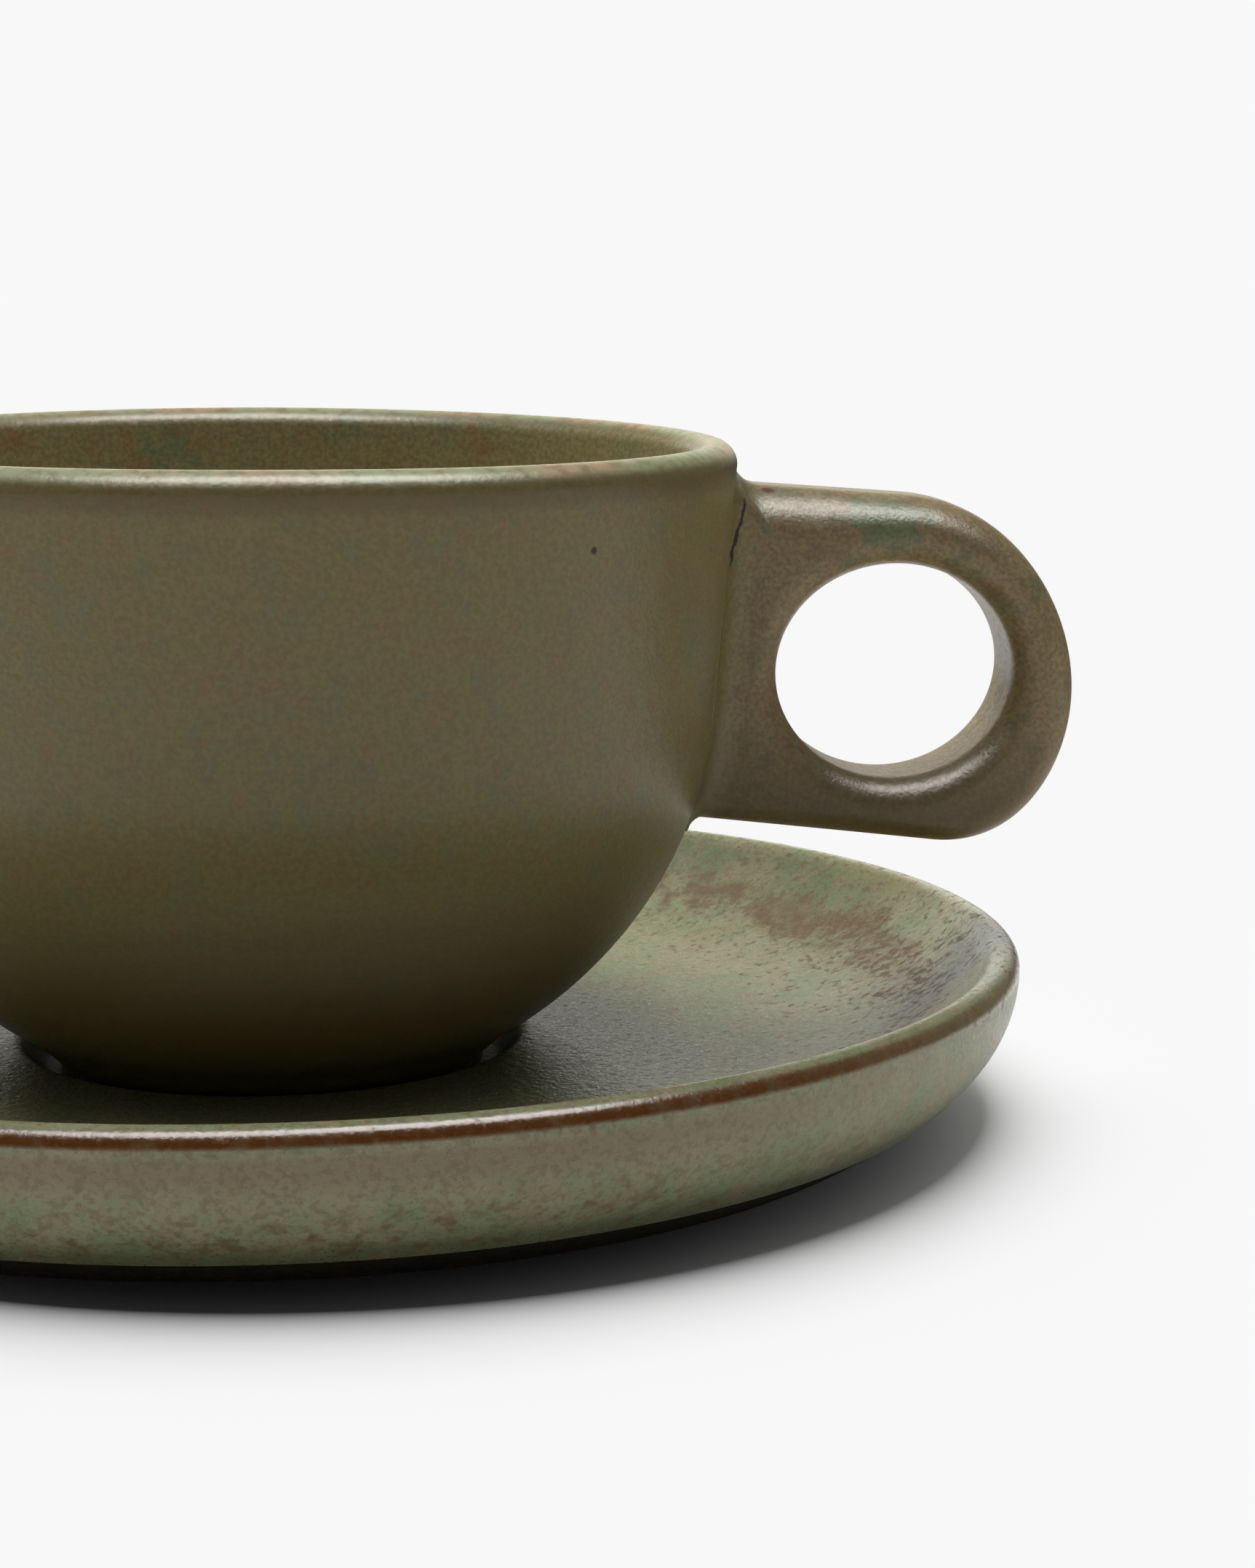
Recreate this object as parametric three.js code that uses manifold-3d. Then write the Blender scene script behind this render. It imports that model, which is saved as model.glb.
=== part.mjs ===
// A lungo cup on its saucer, in glazed stoneware: a thrown cup, the flat ear that is luted to its wall as a
// handle, and a dished saucer that the cup lifts off.
// Millimetres, +Z up: the table is z = 0, cup and saucer share the Z axis, and the handle points along +X.
import * as THREE from "three";
import { mergeVertices } from "three/addons/utils/BufferGeometryUtils.js";
import Module from "manifold-3d";

// Driving dimensions of the saucer
const SAUCER_RADIUS = 74.8; // widest point, just under the lip
const SAUCER_HEIGHT = 18;
const SAUCER_LIP = 1.75; // radius of the rounded lip
const WELL_HEIGHT = 8; // flat of the well, above the table
const WELL_RADIUS = 50; // where the flat starts to rise to the lip
const SEAT_RADIUS = 25.2; // edge of the sunk seat that the cup stands in
const SEAT_DEPTH = 3;
const SEAT_PLAY = 1.4; // room round the cup's foot on the floor of the seat
const HIP_RADIUS = 69.4; // where the glazed outer wall ends
const HIP_HEIGHT = 5.9;
const SWING_HEIGHT = 10.2; // height at which the outer wall swings upright
const CHIN_RADIUS = 64.5; // where the bare band under the wall ends
const CHIN_HEIGHT = 2.9;
const SAUCER_FOOT_RADIUS = 52;

// Driving dimensions of the cup, with heights above its own foot
const CUP_HEIGHT = 62.9;
const RIM_RADIUS = 46.6;
const CUP_WALL = 4.2;
const CUP_FLOOR = 5.6;
const SHOULDER_HEIGHT = 36; // where the bowl eases into the straight wall
const SHOULDER_RADIUS = 44.4;
const BOWL_CURVE = 41.5; // radius of the bowl's side, seen in profile
const BOWL_END = THREE.MathUtils.degToRad(59); // slope at which the bowl runs straight to the foot
const FOOT_RADIUS = 21.2;
const FOOT_HEIGHT = 1.2;
const FOOT_RING = 4.8; // width of the ring that the cup stands on
const FOOT_RECESS = 1.3; // depth of the hollow inside the ring
const FOOT_BEVEL = 0.5;

// Driving dimensions of the handle: runs go outward from the rim, and drops go down from it
const HANDLE_REACH = 34.3;
const HANDLE_THICKNESS = 13;
const HANDLE_EDGE = 2.9; // radius of the softened edges
const ROOT_DEPTH = 8.6; // how far the outline is drawn inside the rim, before the wall trims it
const TOP_ROOT_DROP = 4.4; // top edge at the root
const TOP_CORNER_DROP = 6.4; // top edge where it starts to round the nose
const TOP_CORNER_RUN = 17.4;
const TOP_CORNER_EASE = 10.2; // how long the corner keeps the edge's direction
const NOSE_DROP = 25.9; // furthest point of the handle
const NOSE_EASE_UP = 9.2;
const NOSE_EASE_DOWN = 7;
const BOTTOM_CORNER_DROP = 41.1;
const BOTTOM_CORNER_RUN = 19.9;
const BOTTOM_CORNER_EASE = 9.6;
const BOTTOM_ROOT_DROP = 38.6;
const HOLE_RUN = 15.9; // centre of the finger hole
const HOLE_DROP = 23.9;
const HOLE_WIDTH = 24;
const HOLE_HEIGHT = 21.6;
const ROOT_FILLET = 3.2; // clay smoothed into the corner between handle and wall
const BOTTOM_FILLET = 1.2; // the same under the handle
const COLLAR_SINK = 0.2; // how far the smoothed clay ends inside the bar
const JOINT_GAP = 0.3; // slip joint between handle and wall

// Fineness of the surfaces
const CUP_SIDES = 48;
const SAUCER_SIDES = 56;
const BOWL_STEPS = 9;
const LIP_STEPS = 4;
const SWING_STEPS = 6;
const DISH_STEPS = 7;
const HANDLE_SECTIONS = 56;
const EDGE_STEPS = 3;
const FACE_STEPS = 3;
const COLLAR_STEPS = 9;
const FILLET_STEPS = 4;

const wasm = await Module();
wasm.setup();

const seatHeight = WELL_HEIGHT - SEAT_DEPTH;
const CUP_LIP = CUP_WALL / 2;
const rimCentre = new THREE.Vector2(RIM_RADIUS - CUP_LIP, CUP_HEIGHT - CUP_LIP);
const taper = Math.atan2(RIM_RADIUS - SHOULDER_RADIUS, rimCentre.y - SHOULDER_HEIGHT);
const bowlCentre = new THREE.Vector2(
  SHOULDER_RADIUS - BOWL_CURVE * Math.cos(taper),
  SHOULDER_HEIGHT + BOWL_CURVE * Math.sin(taper),
);
// How steeply the handle's straight edges fall outward.
const topFall = (TOP_CORNER_DROP - TOP_ROOT_DROP) / (TOP_CORNER_RUN + ROOT_DEPTH);
const bottomFall = (BOTTOM_CORNER_DROP - BOTTOM_ROOT_DROP) / (BOTTOM_CORNER_RUN + ROOT_DEPTH);

function point(radius, height) {
  return new THREE.Vector2(radius, height);
}

// Points of an arc round a centre, from one angle to another.
function arc(centre, radius, from, to, steps) {
  return Array.from({ length: steps + 1 }, (_, i) => {
    const angle = from + ((to - from) * i) / steps;
    return point(centre.x + radius * Math.cos(angle), centre.y + radius * Math.sin(angle));
  });
}

// A profile turned round the Z axis.
function turned(profile, sides) {
  return new THREE.LatheGeometry(profile, sides).rotateX(Math.PI / 2);
}

// The cup's outside from the middle of its underside to the top of the lip, with the wall moved out by a gap.
function cupOutside(gap) {
  const ringInside = FOOT_RADIUS - FOOT_RING;
  return [
    point(0, FOOT_RECESS),
    point(ringInside, FOOT_RECESS),
    point(ringInside + FOOT_BEVEL, 0),
    point(FOOT_RADIUS - FOOT_BEVEL, 0),
    point(FOOT_RADIUS, FOOT_BEVEL),
    point(FOOT_RADIUS + gap, FOOT_HEIGHT),
    ...arc(bowlCentre, BOWL_CURVE + gap, -BOWL_END, -taper, BOWL_STEPS),
    ...arc(rimCentre, CUP_LIP + gap, -taper, Math.PI / 2, LIP_STEPS),
  ];
}

// The cup's inside from the top of the lip down to the middle of its floor.
function cupInside() {
  const curve = BOWL_CURVE - CUP_WALL;
  const floorAngle = Math.asin((CUP_FLOOR - bowlCentre.y) / curve);
  return [
    ...arc(rimCentre, CUP_LIP, Math.PI / 2, Math.PI - taper, LIP_STEPS).slice(1),
    ...arc(bowlCentre, curve, -taper, floorAngle, BOWL_STEPS),
    point(0, CUP_FLOOR),
  ];
}

function cupBodyGeometry() {
  return turned([...cupOutside(0), ...cupInside()], CUP_SIDES);
}

// The saucer's outline: foot, underside, bare band, outer wall, lip, dished slope, flat well and sunk seat.
function saucerGeometry() {
  const lipCentre = point(SAUCER_RADIUS - SAUCER_LIP, SAUCER_HEIGHT - SAUCER_LIP);
  const across = lipCentre.x - WELL_RADIUS;
  const rise = lipCentre.y - WELL_HEIGHT;
  // The slope is level at the edge of the well and meets the lip without a crease.
  const dishCurve = (across ** 2 + rise ** 2 - SAUCER_LIP ** 2) / (2 * (rise + SAUCER_LIP));
  const dishCentre = point(WELL_RADIUS, WELL_HEIGHT + dishCurve);
  const meeting = Math.atan2(lipCentre.y - dishCentre.y, across);
  const outerWall = new THREE.QuadraticBezierCurve(
    point(HIP_RADIUS, HIP_HEIGHT),
    point(SAUCER_RADIUS, SWING_HEIGHT),
    point(SAUCER_RADIUS, lipCentre.y),
  );
  const profile = [
    point(0, 0),
    point(SAUCER_FOOT_RADIUS - FOOT_BEVEL, 0),
    point(SAUCER_FOOT_RADIUS, FOOT_BEVEL),
    point(SAUCER_FOOT_RADIUS, CHIN_HEIGHT),
    point(CHIN_RADIUS, CHIN_HEIGHT),
    ...outerWall.getPoints(SWING_STEPS),
    ...arc(lipCentre, SAUCER_LIP, 0, Math.PI + meeting, 2 * LIP_STEPS).slice(1),
    ...arc(dishCentre, dishCurve, meeting, -Math.PI / 2, DISH_STEPS).slice(1),
    point(SEAT_RADIUS, WELL_HEIGHT),
    point(FOOT_RADIUS + SEAT_PLAY, seatHeight),
    point(0, seatHeight),
  ];
  return turned(profile, SAUCER_SIDES);
}

// Radius of the cup's outside at a height.
function wallRadius(height) {
  if (height >= SHOULDER_HEIGHT) return SHOULDER_RADIUS + (height - SHOULDER_HEIGHT) * Math.tan(taper);
  return bowlCentre.x + Math.sqrt(BOWL_CURVE ** 2 - (bowlCentre.y - height) ** 2);
}

// The handle's outline in the XZ plane: along the top, round the nose, back along the bottom.
function handleOutline() {
  const x = (run) => RIM_RADIUS + run;
  const z = (drop) => CUP_HEIGHT - drop;
  const nose = x(HANDLE_REACH);
  return new THREE.Path()
    .moveTo(x(-ROOT_DEPTH), z(TOP_ROOT_DROP))
    .lineTo(x(TOP_CORNER_RUN), z(TOP_CORNER_DROP))
    .bezierCurveTo(
      x(TOP_CORNER_RUN + TOP_CORNER_EASE), z(TOP_CORNER_DROP + topFall * TOP_CORNER_EASE),
      nose, z(NOSE_DROP - NOSE_EASE_UP),
      nose, z(NOSE_DROP),
    )
    .bezierCurveTo(
      nose, z(NOSE_DROP + NOSE_EASE_DOWN),
      x(BOTTOM_CORNER_RUN + BOTTOM_CORNER_EASE), z(BOTTOM_CORNER_DROP + bottomFall * BOTTOM_CORNER_EASE),
      x(BOTTOM_CORNER_RUN), z(BOTTOM_CORNER_DROP),
    )
    .lineTo(x(-ROOT_DEPTH), z(BOTTOM_ROOT_DROP))
    .closePath();
}

// A bar's section with softened edges: places and outward directions, along its width and its thickness.
function barSection(width, faceSteps) {
  const halfFace = width / 2 - HANDLE_EDGE;
  const halfEdge = HANDLE_THICKNESS / 2 - HANDLE_EDGE;
  const section = [];
  [[1, 1], [-1, 1], [-1, -1], [1, -1]].forEach(([along, across], corner) => {
    for (let i = 0; i <= EDGE_STEPS; i++) {
      const angle = (corner + i / EDGE_STEPS) * (Math.PI / 2);
      const out = point(Math.cos(angle), Math.sin(angle));
      const place = point(along * halfFace, across * halfEdge).addScaledVector(out, HANDLE_EDGE);
      section.push({ place, out });
    }
    // Corners 0 and 2 are followed by a flat face of the handle.
    const flats = corner % 2 ? 0 : faceSteps - 1;
    for (let i = 1; i <= flats; i++) {
      const place = point(along * halfFace * (1 - (2 * i) / faceSteps), (across * HANDLE_THICKNESS) / 2);
      section.push({ place, out: point(0, across) });
    }
  });
  return section;
}

// One section of the handle, between a point of the outline and the finger hole.
function handleSection(outer) {
  const hole = point(RIM_RADIUS + HOLE_RUN, CUP_HEIGHT - HOLE_DROP);
  const half = point(HOLE_WIDTH / 2, HOLE_HEIGHT / 2);
  const toward = outer.clone().sub(hole).divide(half).normalize();
  const inner = toward.multiply(half).add(hole);
  const along = outer.clone().sub(inner);
  const width = along.length();
  const middle = outer.clone().add(inner).divideScalar(2);
  along.normalize();
  return barSection(width, FACE_STEPS).map(({ place }) => {
    const flat = middle.clone().addScaledVector(along, place.x);
    return new THREE.Vector3(flat.x, place.y, flat.y);
  });
}

// Side faces between sections that follow each other.
function sideFaces(sections, count) {
  const around = sections[0].length;
  const vertex = (i, j) => (i % sections.length) * around + (j % around);
  const index = [];
  for (let i = 0; i < count; i++) {
    for (let j = 0; j < around; j++) {
      index.push(vertex(i, j), vertex(i + 1, j), vertex(i, j + 1));
      index.push(vertex(i, j + 1), vertex(i + 1, j), vertex(i + 1, j + 1));
    }
  }
  return index;
}

// The bar of the handle: its sections joined in a ring round the finger hole.
function handleRing() {
  const outline = handleOutline().getSpacedPoints(HANDLE_SECTIONS).slice(0, HANDLE_SECTIONS);
  const sections = outline.map(handleSection);
  const index = sideFaces(sections, sections.length);
  return new THREE.BufferGeometry().setFromPoints(sections.flat()).setIndex(index);
}

// A ring of the root collar at a distance from the wall: the bar's section, larger nearer the wall.
function collarRing(distance) {
  const bottomRoot = CUP_HEIGHT - BOTTOM_ROOT_DROP;
  const bottomRun = wallRadius(bottomRoot) - RIM_RADIUS + distance;
  const top = CUP_HEIGHT - TOP_ROOT_DROP - topFall * (ROOT_DEPTH + distance);
  const bottom = bottomRoot - bottomFall * (ROOT_DEPTH + bottomRun);
  const climb = 1 - THREE.MathUtils.clamp(distance / ROOT_FILLET, 0, 1);
  const swell = 1 - Math.sqrt(1 - climb ** 2);
  return barSection(top - bottom, COLLAR_STEPS).map(({ place, out }) => {
    const fillet = out.x < 0 ? BOTTOM_FILLET : ROOT_FILLET;
    const across = place.y + out.y * (ROOT_FILLET * swell - COLLAR_SINK);
    const height = (top + bottom) / 2 + place.x + out.x * (fillet * swell - COLLAR_SINK);
    const reach = Math.sqrt((wallRadius(height) + distance) ** 2 - across ** 2);
    return new THREE.Vector3(reach, across, height);
  });
}

// The clay smoothed into the corner round the handle's root, as a hollow curve from the wall to the bar.
function rootCollar() {
  const rings = Array.from({ length: FILLET_STEPS + 1 }, (_, i) => {
    const turn = (Math.PI / 2) * (i / FILLET_STEPS);
    return collarRing(ROOT_FILLET * (1 - Math.cos(turn)));
  });
  const sections = [collarRing(-CUP_WALL / 2), ...rings];
  const around = sections[0].length;
  const last = (sections.length - 1) * around;
  const index = sideFaces(sections, sections.length - 1);
  for (let j = 1; j < around - 1; j++) {
    index.push(0, j, j + 1);
    index.push(last, last + j + 1, last + j);
  }
  return new THREE.BufferGeometry().setFromPoints(sections.flat()).setIndex(index);
}

// A closed geometry as a solid that can be cut.
function solidOf(geometry) {
  geometry.deleteAttribute("normal");
  geometry.deleteAttribute("uv");
  const merged = mergeVertices(geometry);
  const triVerts = new Uint32Array(merged.index.array);
  const vertProperties = merged.attributes.position.array;
  return new wasm.Manifold(new wasm.Mesh({ numProp: 3, vertProperties, triVerts }));
}

// The handle, trimmed to the wall that it is stuck to.
function handleGeometry() {
  const wall = turned([...cupOutside(JOINT_GAP), point(0, CUP_HEIGHT + JOINT_GAP)], CUP_SIDES);
  const whole = solidOf(handleRing()).add(solidOf(rootCollar()));
  const trimmed = whole.subtract(solidOf(wall)).getMesh();
  const geometry = new THREE.BufferGeometry();
  geometry.setAttribute("position", new THREE.BufferAttribute(trimmed.vertProperties, 3));
  geometry.setIndex(new THREE.BufferAttribute(trimmed.triVerts, 1));
  geometry.computeVertexNormals();
  return geometry;
}

function piece(name, geometry, color, roughness) {
  const material = new THREE.MeshStandardMaterial({ color, roughness, metalness: 0 });
  const mesh = new THREE.Mesh(geometry, material);
  mesh.name = name;
  return mesh;
}

const saucer = piece("saucer", saucerGeometry(), 0x8f9a80, 0.45);
const cup = new THREE.Group();
cup.position.z = seatHeight;
cup.add(piece("cup_body", cupBodyGeometry(), 0x6a6857, 0.5));
cup.add(piece("cup_handle", handleGeometry(), 0x67645a, 0.5));

const group = new THREE.Group();
group.add(saucer, cup);
export default group;
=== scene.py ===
import math

import bpy
import numpy as np
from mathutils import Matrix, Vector


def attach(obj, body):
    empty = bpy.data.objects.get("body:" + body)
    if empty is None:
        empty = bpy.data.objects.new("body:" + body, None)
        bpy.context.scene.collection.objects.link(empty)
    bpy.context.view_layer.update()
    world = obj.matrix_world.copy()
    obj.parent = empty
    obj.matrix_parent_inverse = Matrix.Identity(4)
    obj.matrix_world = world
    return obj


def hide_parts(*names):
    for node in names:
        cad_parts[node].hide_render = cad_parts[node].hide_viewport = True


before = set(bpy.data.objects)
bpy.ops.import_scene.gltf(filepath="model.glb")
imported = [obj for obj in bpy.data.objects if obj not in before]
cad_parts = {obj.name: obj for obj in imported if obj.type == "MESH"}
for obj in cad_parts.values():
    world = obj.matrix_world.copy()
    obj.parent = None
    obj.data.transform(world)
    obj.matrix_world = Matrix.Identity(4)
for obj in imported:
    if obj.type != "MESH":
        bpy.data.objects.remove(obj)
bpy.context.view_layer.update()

MM = 0.001

# Saucer
SAUCER_RADIUS = 74.8
SAUCER_HEIGHT = 18
SAUCER_LIP = 1.75
WELL_HEIGHT = 8
WELL_RADIUS = 50
SEAT_RADIUS = 25.2
SEAT_DEPTH = 3
SEAT_PLAY = 1.4
HIP_RADIUS = 69.4
HIP_HEIGHT = 5.9
SWING_HEIGHT = 10.2
CHIN_RADIUS = 64.5
CHIN_HEIGHT = 2.9
SAUCER_FOOT_RADIUS = 52
SAUCER_FOOT_EASE = 0.6
CHIN_EASE = 0.8
BAND_EASE = 0.5
SEAT_EDGE_EASE = 0.9
SEAT_FLOOR_EASE = 0.7

# Cup, with heights above its own foot
CUP_HEIGHT = 62.9
RIM_RADIUS = 46.6
CUP_WALL = 4.2
CUP_FLOOR = 5.6
SHOULDER_HEIGHT = 36
SHOULDER_RADIUS = 44.4
BOWL_CURVE = 41.5
BOWL_END = math.radians(59)
FOOT_RADIUS = 21.2
FOOT_HEIGHT = 1.2
FOOT_RING = 4.8
FOOT_RECESS = 1.3
FOOT_BEVEL = 0.5
FOOT_EASE = 0.4
FOOT_TOP_EASE = 0.5

# The inside of the cup eases into its floor from a rise above it, by these shares of the radius there
FLOOR_RISE = 2
FLOOR_EASE = (0.72, 0.4)

# Handle: runs go outward from the rim, drops go down from it, and edges go along the face and across it
HANDLE_REACH = 34.26
HANDLE_THICKNESS = 13
HOLE_EDGE = 2.9
TOP_EDGE = (6, 5)
BOTTOM_EDGE = (2.2, 2.6)
TOP_ROOT = (-8.6, 4.4)
TOP_CORNER = (17.4, 6.4)
TOP_EASE = 10.2
NOSE_DROP = 25.9
NOSE_EASE_UP = 9.2
NOSE_EASE_DOWN = 7
BOTTOM_CORNER = (19.9, 41.1)
BOTTOM_EASE = 9.6
BOTTOM_ROOT = (-8.6, 37.7)
HOLE_CENTRE = (15.9, 23.9)
HOLE_WIDTH = 24
HOLE_HEIGHT = 21.6
ROOT_SINK = 2.2
FACE_FILLET = 3.4
TOP_FILLET = 2.7
BOTTOM_FILLET = 1.1

# The handle's outer edge fades inside the wall to its least share, and takes up to its most of a face
EDGE_LEAST = 0.08
EDGE_MOST = 0.92

# Directions that barely run along the wall move a point less
LEAST_SIDEWAYS = 0.05

# How far the curve of a rounded corner keeps the direction of each side
ROUND = 0.552

# Handmade unevenness
RIM_SAG = 0.0076
RIM_SAG_EASE = 8
RIM_SAG_RISE = 30
LIP_SAG = 0.2
LIP_TILT = 0.013
LIP_TILT_START = 48

# Fineness of the meshes
SIDES = 224
STEP = 0.9
FINE_STEP = 0.22
HANDLE_SECTIONS = 240
EDGE_STEPS = 12
FACE_STEPS = 44
FACE_SAMPLES = 200
THICK_STEPS = 8
EASE_STEPS = 8
SWING_STEPS = 24
FLOOR_STEPS = 12
OUTLINE_STEP = 0.02
OUTLINE_STEPS = 1600
CROWDING = 5
CROWDING_REACH = 1.2

CUP_LIP = CUP_WALL / 2
SEAT_HEIGHT = WELL_HEIGHT - SEAT_DEPTH
RIM_CENTRE = np.array([RIM_RADIUS - CUP_LIP, CUP_HEIGHT - CUP_LIP])
LIP_CENTRE = np.array([SAUCER_RADIUS - SAUCER_LIP, SAUCER_HEIGHT - SAUCER_LIP])
TAPER = math.atan2(RIM_RADIUS - SHOULDER_RADIUS, RIM_CENTRE[1] - SHOULDER_HEIGHT)
BOWL_CENTRE = np.array(
    [SHOULDER_RADIUS - BOWL_CURVE * math.cos(TAPER), SHOULDER_HEIGHT + BOWL_CURVE * math.sin(TAPER)]
)


def smooth(low, high, value):
    """0 below low, 1 above high and an even ease between them."""
    t = np.clip((value - low) / (high - low), 0, 1)
    return t * t * (3 - 2 * t)


def between(value, start, risen, falling, end):
    """1 from risen to falling, 0 before start and after end."""
    return smooth(start, risen, value) * smooth(end, falling, value)


def unit(vector):
    return vector / np.linalg.norm(vector, axis=-1, keepdims=True)


def steps(start, end, count):
    """A number of points from start up to, but not at, end."""
    start, end = np.array(start, float), np.array(end, float)
    return start + (end - start) * (np.arange(count) / count)[:, None]


def straight(start, end, step):
    """Points about a step apart from start up to, but not at, end."""
    length = np.linalg.norm(np.subtract(end, start))
    return steps(start, end, max(1, math.ceil(length / step)))


def arc(centre, radius, start, end, step):
    """Points of an arc from one angle up to, but not at, another."""
    count = max(2, math.ceil(abs(end - start) * radius / step))
    angles = start + (end - start) * np.arange(count) / count
    return np.array(centre) + radius * np.column_stack([np.cos(angles), np.sin(angles)])


def bezier(controls, count):
    """Points of a Bezier curve up to, but not at, its end."""
    t = (np.arange(count) / count)[:, None]
    layer = [np.array(control, float) for control in controls]
    while len(layer) > 1:
        layer = [a + (b - a) * t for a, b in zip(layer, layer[1:])]
    return layer[0]


def corner(start, middle, end):
    """A rounded corner from start to end, up to but not at its end."""
    start, middle, end = np.array(start), np.array(middle), np.array(end)
    leaving, arriving = start + ROUND * (middle - start), end + ROUND * (middle - end)
    return bezier([start, leaving, arriving, end], EDGE_STEPS)


def eased(corners, step):
    """A line through corners (x, y, ease), each rounded off over its ease."""
    places = [np.array(place[:2], float) for place in corners]
    runs = []
    start = places[0]
    for before, here, after, (_, _, ease) in zip(places, places[1:], places[2:], corners[1:]):
        enter = here + unit(before - here) * ease
        leave = here + unit(after - here) * ease
        runs += [straight(start, enter, step), bezier([enter, here, leave], EASE_STEPS)]
        start = leave
    return np.vstack(runs + [straight(start, places[-1], step), places[-1:]])


def saucer_profile():
    """The saucer's outline from the middle of its underside to the middle of its seat."""
    across, rise = LIP_CENTRE - (WELL_RADIUS, WELL_HEIGHT)
    dish_curve = (across**2 + rise**2 - SAUCER_LIP**2) / (2 * (rise + SAUCER_LIP))
    dish = (WELL_RADIUS, WELL_HEIGHT + dish_curve)
    meeting = math.atan2(rise - dish_curve, across)
    wall = [(HIP_RADIUS, HIP_HEIGHT), (SAUCER_RADIUS, SWING_HEIGHT), (SAUCER_RADIUS, LIP_CENTRE[1])]
    under = [
        (0, 0, 0),
        (SAUCER_FOOT_RADIUS, 0, SAUCER_FOOT_EASE),
        (SAUCER_FOOT_RADIUS, CHIN_HEIGHT, CHIN_EASE),
        (CHIN_RADIUS, CHIN_HEIGHT, BAND_EASE),
        (HIP_RADIUS, HIP_HEIGHT, 0),
    ]
    seat = [
        (WELL_RADIUS, WELL_HEIGHT, 0),
        (SEAT_RADIUS, WELL_HEIGHT, SEAT_EDGE_EASE),
        (FOOT_RADIUS + SEAT_PLAY, SEAT_HEIGHT, SEAT_FLOOR_EASE),
        (0, SEAT_HEIGHT, 0),
    ]
    return np.vstack(
        [
            eased(under, STEP)[:-1],
            bezier(wall, SWING_STEPS),
            arc(LIP_CENTRE, SAUCER_LIP, 0, math.pi + meeting, FINE_STEP),
            arc(dish, dish_curve, meeting, -math.pi / 2, STEP),
            eased(seat, STEP),
        ]
    )


def cup_profile():
    """The cup's outline from the middle of its underside, over the lip, to the middle of its floor."""
    ring = FOOT_RADIUS - FOOT_RING
    bowl_end = BOWL_CENTRE + BOWL_CURVE * np.array([math.cos(BOWL_END), -math.sin(BOWL_END)])
    inner_curve = BOWL_CURVE - CUP_WALL
    floor_angle = math.asin((CUP_FLOOR + FLOOR_RISE - BOWL_CENTRE[1]) / inner_curve)
    floor_start = BOWL_CENTRE + inner_curve * np.array([math.cos(floor_angle), math.sin(floor_angle)])
    foot = [
        (0, FOOT_RECESS, 0),
        (ring, FOOT_RECESS, FOOT_EASE),
        (ring + FOOT_BEVEL, 0, FOOT_EASE),
        (FOOT_RADIUS, 0, FOOT_EASE),
        (FOOT_RADIUS, FOOT_HEIGHT, FOOT_TOP_EASE),
        (*bowl_end, 0),
    ]
    outward = np.array([math.cos(TAPER), -math.sin(TAPER)])
    shoulder = BOWL_CENTRE + BOWL_CURVE * outward
    inner_shoulder = BOWL_CENTRE + inner_curve * outward
    lip_start = RIM_CENTRE + CUP_LIP * outward
    lip_end = RIM_CENTRE - CUP_LIP * outward
    floor_ease = [floor_start] + [(floor_start[0] * share, CUP_FLOOR) for share in FLOOR_EASE]
    return np.vstack(
        [
            eased(foot, STEP)[:-1],
            arc(BOWL_CENTRE, BOWL_CURVE, -BOWL_END, -TAPER, STEP),
            straight(shoulder, lip_start, STEP),
            arc(RIM_CENTRE, CUP_LIP, -TAPER, math.pi - TAPER, FINE_STEP),
            straight(lip_end, inner_shoulder, STEP),
            arc(BOWL_CENTRE, inner_curve, -TAPER, floor_angle, STEP),
            bezier(floor_ease, FLOOR_STEPS),
            straight(floor_ease[-1], (0, CUP_FLOOR), STEP),
            [(0, CUP_FLOOR)],
        ]
    )


def turned(profile):
    """Points and faces of a profile turned round the Z axis; it starts and ends on the axis."""
    angles = np.arange(SIDES) * 2 * math.pi / SIDES
    radius, height = profile[1:-1, :1], profile[1:-1, 1:]
    rings = np.stack([radius * np.cos(angles), radius * np.sin(angles), height + 0 * angles], axis=-1)
    ends = [[0, 0, profile[0, 1]], [0, 0, profile[-1, 1]]]
    points = np.vstack([rings.reshape(-1, 3), ends])
    faces = grid_faces(len(rings), SIDES)
    first, last = len(points) - 2, len(points) - 1
    top = (len(rings) - 1) * SIDES
    for j in range(SIDES):
        k = (j + 1) % SIDES
        faces += [(first, k, j), (last, top + j, top + k)]
    return points, faces


def grid_faces(rows, columns, ring=False):
    """Faces between rows of points; each row is closed, and the rows are too if they make a ring."""
    faces = []
    for i in range(rows if ring else rows - 1):
        here, above = i * columns, (i + 1) % rows * columns
        for j in range(columns):
            k = (j + 1) % columns
            faces.append((here + j, here + k, above + k, above + j))
    return faces


def round_the_axis(masks):
    """Masks of a profile, with a value for each point of the turned shape."""
    spun = {}
    for name, values in masks.items():
        spun[name] = np.concatenate([np.repeat(values[1:-1], SIDES), values[[0, -1]]])
    return spun


def wall_radius(height):
    """Radius of the cup's outside at a height above its foot."""
    below = np.sqrt(np.maximum(BOWL_CURVE**2 - (BOWL_CENTRE[1] - height) ** 2, 0)) + BOWL_CENTRE[0]
    above = SHOULDER_RADIUS + (height - SHOULDER_HEIGHT) * math.tan(TAPER)
    return np.where(height >= SHOULDER_HEIGHT, above, below)


def from_rim(run_drop):
    return np.array([RIM_RADIUS + run_drop[0], CUP_HEIGHT - run_drop[1]])


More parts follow.
